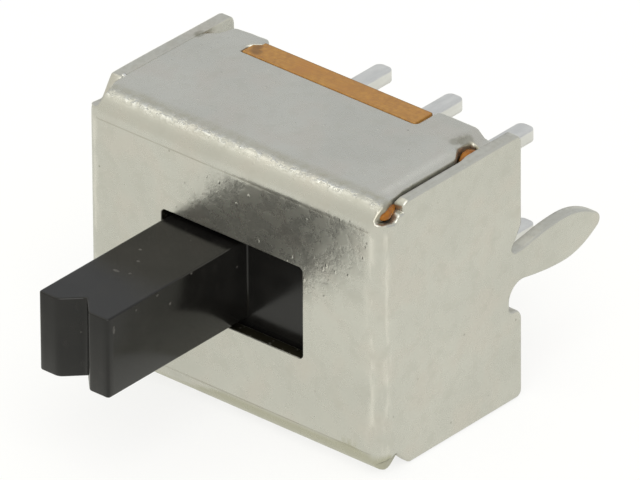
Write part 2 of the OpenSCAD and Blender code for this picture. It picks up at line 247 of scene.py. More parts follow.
def plate(loops, grid, roundings, thickness, burr):
    """Flat plate with rounded edges. Its outline is the first loop, its holes are the others.

    Each loop has its own rounding on the upper face, and burr is that of the lower face. Returns
    points (u, v, h, edge), faces and the number of the first cut-edge face. h runs from
    -thickness / 2 to thickness / 2, and edge is 1 on the outline and 0 inside.
    """
    rings = [[inset(loop, share * r) for share in RING_SHARES] for loop, r in zip(loops, roundings)]
    flat = []
    edges = []
    depth = []
    radius = []
    for loop_rings, r in zip(rings, roundings):
        for ring, share in zip(loop_rings, RING_SHARES):
            base = len(flat)
            count = len(ring)
            flat += list(ring)
            depth += [share * r] * count
            radius += [r] * count
            edges += [(base + i, base + (i + 1) % count) for i in range(count)]
    grid = clear_grid(grid, rings)
    flat += list(grid)
    depth += [FLAT_DEPTH] * len(grid)
    radius += [EDGE_ROUND] * len(grid)
    made = delaunay_2d_cdt([Vector(p) for p in flat], edges, [], 0, WELD)
    corners = np.array([tuple(p) for p in made[0]])
    origin = [ids[0] for ids in made[3]]
    depth = np.array(depth)[origin]
    radius = np.array(radius)[origin]
    faces = plate_faces(corners, np.array([list(f) for f in made[2]]), rings)
    count = len(corners)
    edge = np.clip(1 - depth / (RING_SHARES[-1] * radius), 0, 1)
    upper = np.column_stack([corners, face_height(depth, radius, thickness), edge])
    lower = np.column_stack([corners, -face_height(depth, burr, thickness), edge])
    place = {o: i for i, o in enumerate(origin)}
    skin = [list(f) for f in faces] + [[i + count for i in f[::-1]] for f in faces]
    first_cut = len(skin)
    base = 0
    for loop_rings in rings:
        n = len(loop_rings[0])
        for i in range(n):
            p = place[base + i]
            q = place[base + (i + 1) % n]
            skin.append([q, p, p + count, q + count])
        base += n * len(RING_SHARES)
    return np.concatenate([upper, lower]), skin, first_cut


# ---------------------------------------------------------------- the can, folded from its blank

FLANGE_R = FLANGE_BEND + SHEET / 2
WALL_R = WALL_BEND + SHEET / 2
FLAT_U = CAN_HALF - SHEET / 2 - WALL_R     # half width of the flat front plate
FLAT_V = CAN_RISE - SHEET / 2 - FLANGE_R   # half height of it
WALL_ARC = WALL_R * math.pi / 2
FLANGE_ARC = FLANGE_R * math.pi / 2
RELIEF_FRONT = (-4.04, CAN_RISE - 0.445)   # depth and height of a relief's front end on a wall
RELIEF_REAR_Y = -3.66    # depth of its rear end
LEFT_LUMP = 0.06         # how much higher the left wall's upper relief has its front end
OUTLINE_STEP = 0.09      # longest stretch of the blank's outline
NET = 0.16               # spacing of the blank's inner points
FLAP = (0.09, 0.29)      # how far past the flanges' bend lines they begin to stay flat across
HINGE = 0.16             # how far past the walls' bend lines a flange's bend dies out
DIE_LINE_HALF = 0.022    # half width of the groove that the bending tool leaves at a bend line
DIE_LINE_DEPTH = 0.003
PUNCH = (3.52, -1.06, 0.5)     # place and reach of the dip that a staking punch leaves
PUNCH_DIP = 0.08         # depth of that dip
TAB_DIP = 0.19           # how far the flanges' rear corners are pressed in
LEFT_DIP = 0.03          # the same for the upper flange's left corner
RIM_ROLL = 0.07          # how far the flanges' edges beside the right wall are rolled in
RIM_WEAR = 0.06          # how far the right wall's inner edges are worn back there
BURR_LIFT = 0.012        # how far the burr over the base rides up
GAP_ENDS = (-4.0, -3.6, -1.7, -1.4)   # depths at which a flange's gap begins and ends


def wall_u(y):
    """Place on the blank of a point of a side wall at depth y."""
    return FLAT_U + WALL_ARC + y - FRONT_Y - SHEET / 2 - WALL_R


def flange_v(y):
    """Place on the blank of a point of a flange at depth y."""
    return FLAT_V + FLANGE_ARC + y - FRONT_Y - SHEET / 2 - FLANGE_R


def leg_half(y, taper_end):
    """Half width of a leg at distance y from the board plane, up to where its round tip begins."""
    if y < LEG_BULGE:
        return (LEG_NECK + (LEG_WIDTH - LEG_NECK) * math.sin(math.pi / 2 * y / LEG_BULGE)) / 2
    reach = taper_end - LEG_BULGE
    t = (y - LEG_BULGE) / reach
    fall = 3 * t ** 2 - 2 * t ** 3
    end = LEG_TIP * math.cos(LEG_TAPER)
    return LEG_WIDTH / 2 * (1 - fall) + end * fall + math.tan(LEG_TAPER) * reach * (t ** 2 - t ** 3)


def leg_outline():
    """A leg's outline from its lower root to its upper one, as (depth, height)."""
    centre = LEG_END - LEG_TIP
    taper_end = centre + LEG_TIP * math.sin(LEG_TAPER)
    upper = [(y, leg_half(y, taper_end)) for y in np.linspace(LEG_ROOT_END, taper_end, 26)]
    tip = [(centre + LEG_TIP * math.cos(a), LEG_TIP * math.sin(a))
           for a in np.linspace(LEG_TAPER - math.pi / 2, math.pi / 2 - LEG_TAPER, 9)[1:-1]]
    return [(y, -h) for y, h in upper] + tip + [(y, h) for y, h in upper[::-1]]


def burred_slope(top):
    """Corners of the right wall's upper front edge: two lobes of metal with a nick between them."""
    low = np.array(RELIEF_FRONT)
    along = np.array([RELIEF_REAR_Y, top]) - low
    out = np.array([-along[1], along[0]]) / np.linalg.norm(along)
    shape = [(0.71, 0.05, 0.1), (0.51, -0.08, 0.02), (0.34, 0.045, 0.1)]
    return [(*(low + t * along + rise * out), r) for t, rise, r in shape]


def wall_side(side):
    """Corners of one side wall's outline, counter-clockwise, from its front lower corner."""
    top = CAN_RISE - WALL_INSET + (LEFT_RISE + WALL_INSET if side < 0 else 0)
    low = -(CAN_RISE - WALL_INSET)
    cut_depth, cut_height = LEG_CUT
    cut_round, root_round = LEG_CUT_ROUND
    root = LEG_NECK / 2
    upper_end = WALL_END - (LEFT_SHORT if side < 0 else 0)
    outline = [
        (RELIEF_FRONT[0], -RELIEF_FRONT[1], 0.12), (RELIEF_REAR_Y, low, 0.1), (WALL_END, low, 0.16),
        (WALL_END, LEG_RISE - root - LOWER_CUT, 0.28),
        (-cut_depth, LEG_RISE - root - LOWER_CUT, cut_round),
        (-cut_depth, LEG_RISE - root, root_round),
    ]
    outline += [(y, LEG_RISE + z, 0) for y, z in leg_outline()]
    outline += [
        (-cut_depth, LEG_RISE + root, 0.1), (CUT_SLANT[0], LEG_RISE + root + CUT_SLANT[1], 0.3),
        (WALL_END, LEG_RISE + root + cut_height, 0.2),
        (upper_end, top, 0.2), (RELIEF_REAR_Y, top, 0.1),
    ]
    if side > 0:
        outline += burred_slope(top) + [(*RELIEF_FRONT, 0.12)]
    else:
        outline.append((RELIEF_FRONT[0], RELIEF_FRONT[1] + LEFT_LUMP, 0.09))
    return [(wall_u(y), z, r) for y, z, r in outline]


def flange_side():
    """Corners of half of a flange's outline, from its front corner to the notch."""
    side = CAN_HALF - SHEET - FLANGE_GAP
    deep = side - 0.28
    tab_side = side + 0.06
    points = [
        (side + 0.23, -4.52, 0.05), (side + 0.25, -4.24, 0.15), (side + 0.16, -3.94, 0.3),
        (side + 0.05, -3.6, 0.3), (side, -3.3, 0.3), (side, NICK[0], 0.1), (deep, NICK[1], 0.09),
        (deep, NICK[2], 0.09), (tab_side, NICK[3], 0.1), (tab_side, -FLANGE_SETBACK, 0.2),
    ]
    return [(x, flange_place(y), r) for x, y, r in points]


def flange_side_left():
    """The same for the upper flange's left half, which is pressed up against the leaning wall."""
    side = CAN_HALF - 0.08
    points = [
        (side - 0.19, -4.52, 0.05), (side - 0.17, -4.25, 0.12), (side - 0.03, -3.85, 0.2),
        (side, -3.3, 0.3), (side - 0.03, -1.12, 0.1), (side - 0.31, -0.8, 0.1),
        (side - 0.42, -FLANGE_SETBACK, 0.16),
    ]
    return [(x, flange_place(y), r) for x, y, r in points]


def flange_place(y):
    """Place on the blank of a point of a flange or of its bend whose outer face lies at depth y."""
    return flange_v(y) if y > FRONT_Y + FLANGE_BEND + SHEET else FLAT_V + FLANGE_R * bend_at(y)


def bend_at(y):
    """Angle of a flange's bend whose outer face lies at depth y."""
    outer = FLANGE_BEND + SHEET
    return math.acos(np.clip((FRONT_Y + outer - y) / outer, -1, 1))


def can_outline():
    """The blank's outline, counter-clockwise, from the right wall's lower front corner."""
    rear = flange_v(-FLANGE_SETBACK)
    deep = flange_v(-FLANGE_SETBACK - NOTCH_DEPTH)
    right_wall = wall_side(1)
    left_wall = [(-u, v, r) for u, v, r in wall_side(-1)[::-1]]
    left, right = NOTCH_ENDS
    notch = [(right, rear, 0.12), (right, deep, 0.1), (left, deep, 0.05)]
    hook = [(left, rear - 0.48, 0.12), (left + HOOK, rear - 0.28, 0.1), (left + HOOK, rear, 0.12)]
    upper = flange_side() + notch + hook + [(-u, v, r) for u, v, r in flange_side_left()[::-1]]
    lower = flange_side() + notch + [(left, rear, 0.12)] + [(-u, v, r) for u, v, r in flange_side()[::-1]]
    return right_wall + upper + left_wall + [(u, -v, r) for u, v, r in lower[::-1]]


def can_window():
    """The window's outline, clockwise, so that the sheet lies to its left."""
    lo, hi = WINDOW_X
    z0, z1 = WINDOW_RISE - WINDOW_HEIGHT / 2, WINDOW_RISE + WINDOW_HEIGHT / 2
    return [(x, z, WINDOW_RADIUS) for x, z in ((lo, z0), (lo, z1), (hi, z1), (hi, z0))]


def folded(points):
    """Places of the points (u, v, h) of the blank folded into the can, and how bent they are."""
    u, v, h = points[:, 0], points[:, 1], points[:, 2]
    over_u, over_v = np.abs(u) - FLAT_U, np.abs(v) - FLAT_V
    # Beside the walls' reliefs a flange reaches past the walls' bends and stays flat across
    beside = smoothstep(FLAT_V + FLAP[0], FLAT_V + FLAP[1], np.abs(v)) * (np.abs(u) < CAN_HALF)
    a = np.clip(over_u / WALL_R, 0, math.pi / 2) * (1 - beside)
    flange = np.maximum(1 - smoothstep(0.0, HINGE, over_u), beside)
    b = np.clip(over_v / FLANGE_R, 0, math.pi / 2)
    along_u = np.maximum(over_u - WALL_ARC, 0)
    along_v = np.maximum(over_v - FLANGE_ARC, 0)
    x = np.where(over_u > 0, FLAT_U + WALL_R * np.sin(a), np.abs(u))
    x = x + (np.abs(u) - x) * beside
    bent_z = np.where(over_v > 0, FLAT_V + FLANGE_R * np.sin(b), np.abs(v))
    z = flange * bent_z + (1 - flange) * np.abs(v)
    y = WALL_R * (1 - np.cos(a)) + along_u + flange * (FLANGE_R * (1 - np.cos(b)) + along_v)
    b = b * flange
    normal = np.stack([np.sin(a), -np.cos(a) * np.cos(b), np.cos(a) * np.sin(b)], axis=1)
    place = np.stack([x, FRONT_Y + SHEET / 2 + y, z], axis=1) + normal * h[:, None]
    place[:, 0] *= np.where(u < 0, -1, 1)
    place[:, 2] *= np.where(v < 0, -1, 1)
    place[:, 2] += CAN_Z
    return place, np.sin(2 * a) + np.sin(2 * b)


def blank_grid():
    """Inner points of the blank: rows across the bends, a coarser net elsewhere."""
    far_u, far_v = wall_u(LEG_END), flange_v(0)
    bend_u = FLAT_U + WALL_ARC * np.linspace(0, 1, 7)
    bend_v = FLAT_V + FLANGE_ARC * np.linspace(0, 1, 10)[1:]
    plate_u = np.arange(-FLAT_U + 0.05, FLAT_U, NET)
    plate_v = np.arange(-FLAT_V + 0.05, FLAT_V, NET)
    rows = []
    for sign in (-1, 1):
        rows += [(x, sign * y) for x in np.arange(-FLAT_U + 0.05, FLAT_U, NET / 2) for y in bend_v]
        rows += [(sign * x, y) for x in bend_u for y in np.arange(-FLAT_V - 0.3, FLAT_V + 0.3, NET)]
        rows += [(x, sign * y) for x in plate_u for y in np.arange(bend_v[-1] + 0.1, far_v, NET)]
        rows += [(sign * x, y) for x in np.arange(bend_u[-1] + 0.1, far_u, NET)
                 for y in np.arange(-CAN_RISE, CAN_RISE + LEFT_RISE, NET)]
    rows += [(x, y) for x in plate_u for y in plate_v]
    return np.array(rows + die_line_rows() + rim_rows() + punch_rows())


def die_line_rows():
    """Three rows of points along each groove that the bending tool leaves."""
    return [(x, sign * (FLAT_V + k * DIE_LINE_HALF)) for sign in (-1, 1) for k in (-1, 0, 1)
            for x in np.arange(-FLAT_U + 0.03, FLAT_U, 0.08)]


def rim_rows():
    """Rows of points along the flanges' rolled side edges."""
    return [(side * x, sign * v) for side in (-1, 1) for sign in (-1, 1)
            for x in np.arange(3.3, 3.56, 0.05)
            for v in np.arange(flange_v(-4.0), flange_v(-1.8), 0.1)]


def punch_rows():
    """A fine net round the punch marks at the flanges' rear corners."""
    reach = PUNCH[2] + 0.1
    steps = np.arange(-reach, reach, 0.06)
    return [(side * (PUNCH[0] + a), sign * flange_v(PUNCH[1] + b))
            for side in (-1, 1) for sign in (-1, 1) for a in steps for b in steps]


def pressed_in(x, y):
    """How far a flange is pressed in at (x, y), with x counted towards the corner's side."""
    dip = 1 - smoothstep(0.1, PUNCH[2], np.hypot(x - PUNCH[0], y - PUNCH[1]))
    tab = smoothstep(3.2, 3.5, x) * smoothstep(-1.2, -0.85, y)
    return np.maximum(PUNCH_DIP * dip, TAB_DIP * tab)


def pressed_in_left(x, y):
    """The same at the upper flange's left corner, which is hardly pressed at all."""
    return LEFT_DIP * smoothstep(3.0, 3.6, -x) * smoothstep(-1.2, -0.6, y)


def beside_gap(y):
    """1 along the straight part of a flange's gap, 0 at its ends."""
    return smoothstep(*GAP_ENDS[:2], y) * (1 - smoothstep(*GAP_ENDS[2:], y))


def die_line(points):
    """1 at the middle of a bending tool's groove, 0 beside it."""
    u, v = points[:, 0], points[:, 1]
    return np.clip(1 - np.abs(np.abs(v) - FLAT_V) / DIE_LINE_HALF, 0, 1) * (np.abs(u) < FLAT_U)


def worked(points, place):
    """The folded places with the can's staked corners, rolled edges, grooves and uneven walls."""
    x, y, z = place.T
    u, v, h = points[:, 0], points[:, 1], points[:, 2]
    for sign in (-1, 1):
        on_flange = (np.abs(u) < CAN_HALF - 0.1) & (sign * v > FLAT_V + FLANGE_ARC)
        for side in (-1, 1):
            press = pressed_in_left(x, y) if (side, sign) == (-1, 1) else pressed_in(side * x, y)
            z = z - sign * press * on_flange
        z = z - sign * RIM_ROLL * smoothstep(3.4, 3.7, x) * beside_gap(y) * on_flange
    # The burr at the notch's left end rides up on the base
    hook = smoothstep(NOTCH_ENDS[0] - 0.1, NOTCH_ENDS[0] + 0.1, x) * (x < 0) * (v > flange_v(-0.95))
    z = z + BURR_LIFT * hook
    # The left wall stands a little wide of the others, and more so along its upper edge
    left = smoothstep(-3.2, -3.9, x) * (1 - smoothstep(FLAT_V, FLAT_V + FLANGE_ARC, np.abs(v)))
    on_wall = u < -FLAT_U - WALL_ARC
    wide = np.where(on_wall, 1.0, left)
    lean = smoothstep(0.6, 3.1, z) * smoothstep(-4.3, -3.5, y) * (1 - 0.55 * smoothstep(-3.3, 0.0, y))
    x = x - LEFT_WIDE * wide - LEFT_LEAN * lean * on_wall
    # The right wall's inner edges are worn back along the gaps
    rim = smoothstep(CAN_RISE - 0.2, CAN_RISE - 0.06, np.abs(v))
    x = x + RIM_WEAR * beside_gap(y) * (u > FLAT_U + WALL_ARC) * (h < 0) * rim
    y = y + DIE_LINE_DEPTH * die_line(points) * (h > 0)
    return np.stack([x, y, z], axis=1)


def mark(obj, points, place, bend):
    """Gives the can's points the values by which its material finds bends, edges and rims, and where it
    paints shade, glints and highlights.
    """
    x, y = place[:, 0], place[:, 1]
    u, v = points[:, 0], points[:, 1]
    over_u = np.abs(u) - FLAT_U
    angle = (np.abs(v) - FLAT_V) / FLANGE_R * (np.abs(u) < FLAT_U + 0.1)
    in_window = (np.abs(u) < WINDOW_HALF + 0.2) * (np.abs(v) < WINDOW_HEIGHT / 2 + 0.2)
    waver = 0.06 * np.exp(-((u - 3.2) / 0.3) ** 2) - 0.19 * (1 - smoothstep(-1.8, -0.2, u))
    # Where painted highlight streaks run along the wall bends
    bend_highlight_streaks = np.exp(-((over_u - 0.04) / 0.04) ** 2) + np.exp(-((over_u - 0.22) / 0.05) ** 2)
    # Where a painted highlight runs along the flanges' rolled edges
    rim = np.exp(-((np.abs(x) - 3.5) / 0.1) ** 2) * beside_gap(y) * ((x > 0) | (v < 0))
    marks = {
        "bend": bend,
        "edge": points[:, 3],
        "groove": die_line(points),
        "crest": np.exp(-((angle - 1.2) / 0.17) ** 2),
        "painted_brow_shade": np.exp(-((angle - 1.68) / 0.24) ** 2),
        "window": in_window,
        "under": smoothstep(-0.01, 0.05, waver - v - FLAT_V) * (np.abs(u) < CAN_HALF),
        "bend_highlight_streaks": bend_highlight_streaks * (np.abs(v) < FLAT_V),
        "rim": rim * (np.abs(v) > FLAT_V + FLANGE_ARC),
    }
    for name, values in marks.items():
        point_attribute(obj, name, values)


def can(materials):
    """The can, folded from its blank, with its faces in the first material, its cuts in the second."""
    outline = resampled(filleted(can_outline()), OUTLINE_STEP)
    window = resampled(filleted(can_window()), OUTLINE_STEP)
    points, faces, first_cut = plate(
        [outline, window], blank_grid(), (EDGE_ROUND, WINDOW_ROUND), SHEET, BURR_ROUND)
    place, bend = folded(points)
    place = worked(points, place)
    slots = [0] * first_cut + [1] * (len(faces) - first_cut)
    obj = mesh_object("can", place, faces, materials, slots)
    mark(obj, points, place, bend)
    return obj


# ---------------------------------------------------------------- material helpers


class Nodes:
    """Short calls for building the nodes of a material or of the world."""

    def __init__(self, owner, shader="Principled BSDF", place="Object"):
        """Takes a material or a world, its shader node's name and the coordinates to use."""
        owner.use_nodes = True
        self.owner = owner
        self.tree = owner.node_tree
        self.shader = self.tree.nodes[shader]
        self.place = self.add("ShaderNodeTexCoord").outputs[place]

    def add(self, kind, inputs=None, **settings):
        """A new node with its inputs linked or set, and its settings."""
        node = self.tree.nodes.new(kind)
        for key, value in settings.items():
            setattr(node, key, value)
        for key, value in (inputs or {}).items():
            self.set(node.inputs[key], value)
        return node

    def set(self, socket, value):
        """Links another node's output to a socket, or gives the socket a plain value."""
        if hasattr(value, "is_output"):
            self.tree.links.new(value, socket)
        else:
            socket.default_value = value

    def mapped(self, scale):
        """Object coordinates in millimetres, times scale along each axis."""
        size = [s / MM for s in scale]
        return self.add("ShaderNodeMapping", {"Vector": self.place, "Scale": size}).outputs[0]

    def noise(self, scale, detail=3.0, rough=0.5):
        """Noise with so many cells to the millimetre along each axis."""
        node = self.add("ShaderNodeTexNoise", {
            "Vector": self.mapped(scale), "Scale": 1.0, "Detail": detail, "Roughness": rough})
        return node.outputs["Fac"]

    def cells(self, scale):
        """Distance to the nearest of many random points."""
        node = self.add("ShaderNodeTexVoronoi", {"Vector": self.mapped(scale), "Scale": 1.0})
        return node.outputs["Distance"]

    def spot(self, centre, half):
        """1 at a place given in millimetres, falling to 0 at its half widths."""
        shift = [-c / h for c, h in zip(centre, half)]
        size = [1 / h / MM for h in half]
        near = self.add("ShaderNodeMapping", {"Vector": self.place, "Location": shift, "Scale": size})
        reach = self.add("ShaderNodeVectorMath", {0: near.outputs[0]}, operation="LENGTH")
        return self.ramp(reach.outputs["Value"], 0.4, 1.0, (1.0, 0.0))

    def spots(self, places):
        """All the given spots together."""
        total = self.spot(*places[0])
        for place in places[1:]:
            total = self.math("MAXIMUM", total, self.spot(*place))
        return total

    def ramp(self, value, low, high, out=(0.0, 1.0)):
        """A smooth step from out[0] where the value is low to out[1] where it is high."""
        node = self.add("ShaderNodeMapRange", {
            "Value": value, "From Min": low, "From Max": high, "To Min": out[0], "To Max": out[1]},
            interpolation_type="SMOOTHSTEP")
        return node.outputs["Result"]

    def math(self, kind, a, b, clamp=False):
        """One step of arithmetic on outputs or plain numbers."""
        node = self.add("ShaderNodeMath", operation=kind, use_clamp=clamp)
        self.set(node.inputs[0], a)
        self.set(node.inputs[1], b)
        return node.outputs[0]

    def times(self, a, b):
        """The product of two outputs or plain numbers."""
        return self.math("MULTIPLY", a, b)

    def mix(self, share, a, b):
        """Color a, with a share of color b laid over it."""
        node = self.add("ShaderNodeMix", data_type="RGBA")
        self.set(node.inputs[0], share)
        self.set(node.inputs[6], a)
        self.set(node.inputs[7], b)
        return node.outputs[2]

    def attribute(self, name):
        """A value that the mesh's points carry."""
        node = self.add("ShaderNodeAttribute", attribute_name=name, attribute_type="GEOMETRY")
        return node.outputs["Fac"]

    def bumps(self, layers):
        """Chained bump nodes from (height, strength, distance in mm) layers."""
        normal = None
        for height, strength, distance in layers:
            node = self.add("ShaderNodeBump", {
                "Height": height, "Strength": strength, "Distance": distance * MM})
            if normal is not None:
                self.set(node.inputs["Normal"], normal)
            normal = node.outputs["Normal"]
        self.set(self.shader.inputs["Normal"], normal)

    def finish(self, color, roughness, metallic=0.0, **sockets):
        """Sets the shader's main sockets, and others by name with _ for a space."""
        self.set(self.shader.inputs["Base Color"], color)
        self.set(self.shader.inputs["Roughness"], roughness)
        self.shader.inputs["Metallic"].default_value = metallic
        for key, value in sockets.items():
            self.shader.inputs[key.replace("_", " ")].default_value = value
        return self.owner


def rgb(r, g, b):
    """An opaque linear color."""
    return (r, g, b, 1.0)


def material_nodes(name):
    """The nodes of a new material."""
    return Nodes(bpy.data.materials.new(name))


# ---------------------------------------------------------------- materials


# Places on the object as (centre, half widths), in millimetres
PAINTED_CREASE_SHADE = [   # painted shade in the creases beside the staked corners
    ((3.23, -1.12, 3.0), (0.15, 0.2, 0.3)), ((3.29, -0.97, 3.0), (0.17, 0.2, 0.3)),
    ((3.35, -0.82, 3.0), (0.16, 0.2, 0.3)), ((-3.93, -1.16, 3.07), (0.14, 0.2, 0.2)),
]
PAINTED_RIM_SHADE = [    # painted shade that dims the rounded rims of the corner relief and of the nick
    ((3.78, -4.32, 2.95), (0.32, 0.45, 0.35)), ((3.6, -0.85, 2.95), (0.25, 0.25, 0.3)),
]
BURR_GLINTS = [     # burred metal where the left wall's slope begins, with painted glints
    ((-4.05, -3.75, 3.09), (0.07, 0.07, 0.07)), ((-3.98, -3.54, 3.07), (0.06, 0.07, 0.07)),
    ((-4.02, -3.98, 2.98), (0.12, 0.08, 0.08)), ((-4.0, -4.18, 2.9), (0.12, 0.07, 0.07)),
]
PAINTED_HOOK_SHADOW = [     # painted shadow where the can's burr laps over the base's tab
    ((-2.5, -0.95, 3.07), (0.2, 0.16, 0.2)), ((-2.6, -0.8, 3.07), (0.15, 0.2, 0.2)),
]


def tin_ground(n, mottle):
    """The tin's own colors, with sparse dark pits, and how much darker its grooves are."""
    cloud = n.noise((0.55, 0.55, 0.55), 3)
    tint = n.noise((1.1, 1.1, 1.1), 2)
    color = n.mix(n.ramp(cloud, 0.3, 0.7), rgb(0.620, 0.616, 0.563), rgb(0.675, 0.670, 0.612))
    color = n.mix(n.ramp(tint, 0.45, 0.7, (0, 0.6)), color, rgb(0.652, 0.620, 0.560))
    color = n.mix(n.ramp(mottle, 0.45, 0.8, (0, 0.45)), color, rgb(0.565, 0.558, 0.495))
    pits = n.ramp(n.cells((2.3, 2.3, 2.3)), 0.04, 0.075, (1.0, 0.0))
    pits = n.times(pits, n.ramp(n.noise((1.0, 1.0, 1.0), 2), 0.5, 0.58))
    color = n.mix(n.times(pits, 0.5), color, rgb(0.25, 0.24, 0.20))
    groove = n.times(n.attribute("groove"), n.ramp(cloud, 0.4, 0.6, (0.3, 0.65)))
    return color, groove


def tin_at_bends(n, color, fleck, painted_sparkle):
    """Lays painted shade on a band where the bends turn into the flanges and along the lower bends,
    painted glints along the crest, painted highlight streaks on the wall bends and a painted highlight
    along the rolled rims.
    """
    # Painted shade: a darker band where the bends turn into the flanges, standing for a dark reflection
    painted_brow_shade = n.times(n.attribute("painted_brow_shade"), n.ramp(fleck, 0.35, 0.6, (1.0, 0.5)))
    color = n.mix(painted_brow_shade, color, rgb(0.54, 0.52, 0.42))
    # Painted shade along the lower bends, where they mirror the shadowed floor near the can
    color = n.mix(n.attribute("under"), color, rgb(0.515, 0.505, 0.405))
    # Painted glints along the crest
    color = n.mix(n.times(painted_sparkle, 0.9), color, rgb(0.97, 0.97, 0.92))
    # Painted highlight: pale streaks along the two edges of the wall bends
    streak = n.ramp(n.noise((5, 5, 1.3), 3), 0.42, 0.62, (0, 0.7))
    color = n.mix(n.times(n.attribute("bend_highlight_streaks"), streak), color, rgb(0.84, 0.82, 0.75))
    # Painted highlight along the flanges' rolled edges beside the gaps
    return n.mix(n.times(n.attribute("rim"), 0.55), color, rgb(0.88, 0.87, 0.80))


def tin_plate(name, cut=False):
    """Satin tin plate: mottled, finely grained and rougher at the bends, with painted shade, glints and
    highlights at the bends, rims and creases.
    """
    n = material_nodes(name)
    edge = n.attribute("edge")
    worn = n.math("ADD", n.times(n.attribute("bend"), 0.4), edge, clamp=True)
    mottle = n.noise((2.9, 2.9, 2.9), 4, 0.62)
    grain = n.noise((9, 9, 4), 2, 0.6)
    pimples = n.ramp(n.cells((4.6, 4.6, 3.2)), 0.07, 0.19, (1.0, 0.0))
    pimples = n.times(pimples, n.ramp(n.noise((1.6, 1.6, 1.6), 2), 0.45, 0.55))
    fleck = n.noise((4.8, 4.8, 4.8), 3, 0.65)
    # Painted glints: bright specks along the crest of the flanges' bends
    painted_sparkle = n.times(n.attribute("crest"), n.ramp(fleck, 0.46, 0.62))
    color, groove = tin_ground(n, mottle)
    color = tin_at_bends(n, color, fleck, painted_sparkle)
    # Darker along the bending tool's grooves
    color = n.mix(groove, color, rgb(0.34, 0.32, 0.26))
    # Painted shade in the creases beside the staked corners
    crease_shade = n.times(n.spots(PAINTED_CREASE_SHADE), n.ramp(fleck, 0.3, 0.6, (0.75, 0.5)))
    color = n.mix(crease_shade, color, rgb(0.29, 0.28, 0.215))
    # Painted shade that dims the bright rims of the corner relief and of the nick
    rim_shade = n.times(edge, n.spots(PAINTED_RIM_SHADE))
    color = n.mix(n.times(rim_shade, 0.75), color, rgb(0.30, 0.27, 0.19))
    # Painted glints on the burred metal where the left wall's slope begins
    burr_glints = n.spots(BURR_GLINTS)
    color = n.mix(n.times(burr_glints, 0.85), color, rgb(0.99, 0.99, 0.97))
    rough = n.math("ADD", n.ramp(mottle, 0.3, 0.7, (0.22, 0.31)), n.times(worn, 0.08))
    if cut:
        speck = n.noise((8, 8, 8), 2)
        color = n.mix(n.ramp(speck, 0.3, 0.7, (0, 0.25)), color, rgb(0.42, 0.40, 0.34))
        # The window's cut is painted dark, for the shade inside the window and the black slider that it
        # mirrors
        window_cut_shade = n.times(n.attribute("window"), n.ramp(speck, 0.72, 0.6, (0.45, 1.0)))
        color = n.mix(window_cut_shade, color, rgb(0.085, 0.076, 0.046))
        rough = n.math("ADD", rough, 0.04)
    n.bumps([(mottle, 0.45, 0.024), (grain, 0.2, 0.005), (pimples, 0.5, 0.012),
             (painted_sparkle, 0.6, 0.025), (burr_glints, 0.6, 0.03)])
    return n.finish(color, rough, 0.92)


KNOB_DUST = [   # specks and lint on the knob, as the other places
    ((-1.2, -7.0, 0.8), (0.13, 0.06, 0.05)), ((-0.9, -6.9, 0.8), (0.05, 0.05, 0.05)),
    ((-1.1, -6.4, 0.8), (0.07, 0.05, 0.05)), ((-1.4, -6.0, 0.8), (0.06, 0.05, 0.05)),
    ((-1.9, -6.5, 0.77), (0.06, 0.1, 0.06)), ((-1.9, -7.3, 0.77), (0.05, 0.08, 0.05)),
    ((0.03, -7.1, 0.73), (0.05, 0.06, 0.05)), ((0.05, -6.7, 0.35), (0.05, 0.05, 0.05)),
    ((0.05, -8.5, 0.5), (0.05, 0.05, 0.12)), ((0.03, -6.0, 0.78), (0.05, 0.06, 0.04)),
]


def black_plastic(name):
    """Moulded black nylon with a faint grain, pale dust specks and scuffs."""
    n = material_nodes(name)
    cloud = n.noise((1.4, 1.4, 1.4), 3)
    grain = n.noise((14, 14, 14), 2)
    fluff = n.noise((18, 18, 18), 2)
    color = n.mix(n.ramp(cloud, 0.3, 0.7), rgb(0.0085, 0.0082, 0.0078), rgb(0.0125, 0.0120, 0.0112))
    haze = n.ramp(n.noise((2.6, 2.6, 2.6), 4, 0.7), 0.56, 0.72, (0, 0.5))
    color = n.mix(haze, color, rgb(0.022, 0.020, 0.019))
    dust = n.times(n.spots(KNOB_DUST), n.ramp(fluff, 0.35, 0.6, (0.35, 1.0)))
    lint = n.ramp(n.cells((1.5, 1.5, 1.5)), 0.03, 0.06, (0.5, 0.0))
    dust = n.math("MAXIMUM", dust, lint)
    color = n.mix(n.times(dust, 0.5), color, rgb(0.20, 0.19, 0.18))
    rough = n.math("ADD", n.ramp(cloud, 0.3, 0.7, (0.16, 0.23)), n.times(dust, 0.3))
    n.bumps([(cloud, 0.15, 0.012), (grain, 0.2, 0.002)])
    return n.finish(color, rough, 0.0, IOR=1.44)


def laminate(name):
    """Brown paper laminate: thin plies along the plate, fibres of varied tone, darker along its rear cut,
    with a painted shadow under the can's burr.
    """
    n = material_nodes(name)
    plies = n.noise((1.5, 26, 1.5), 2)
    fibre = n.noise((9, 9, 9), 4, 0.65)
    patch = n.noise((1.2, 1.2, 1.2), 2)
    color = n.mix(n.ramp(fibre, 0.3, 0.7), rgb(0.370, 0.172, 0.035), rgb(0.480, 0.248, 0.060))
    color = n.mix(n.ramp(patch, 0.45, 0.7, (0, 0.7)), color, rgb(0.430, 0.195, 0.045))
    color = n.mix(n.ramp(plies, 0.4, 0.62, (0, 0.15)), color, rgb(0.270, 0.115, 0.024))
    # Darker along the rear cut, and a painted shadow where the can's burr laps over it
    depth = n.add("ShaderNodeSeparateXYZ", {"Vector": n.place}).outputs["Y"]
    color = n.mix(n.ramp(depth, -0.575 * MM, -0.53 * MM, (0, 0.6)), color, rgb(0.13, 0.07, 0.025))
    color = n.mix(n.times(n.spots(PAINTED_HOOK_SHADOW), 0.6), color, rgb(0.12, 0.055, 0.015))
    rough = n.ramp(fibre, 0.3, 0.7, (0.38, 0.55))
    n.bumps([(plies, 0.35, 0.01), (fibre, 0.35, 0.008)])
    return n.finish(color, rough, 0.0)


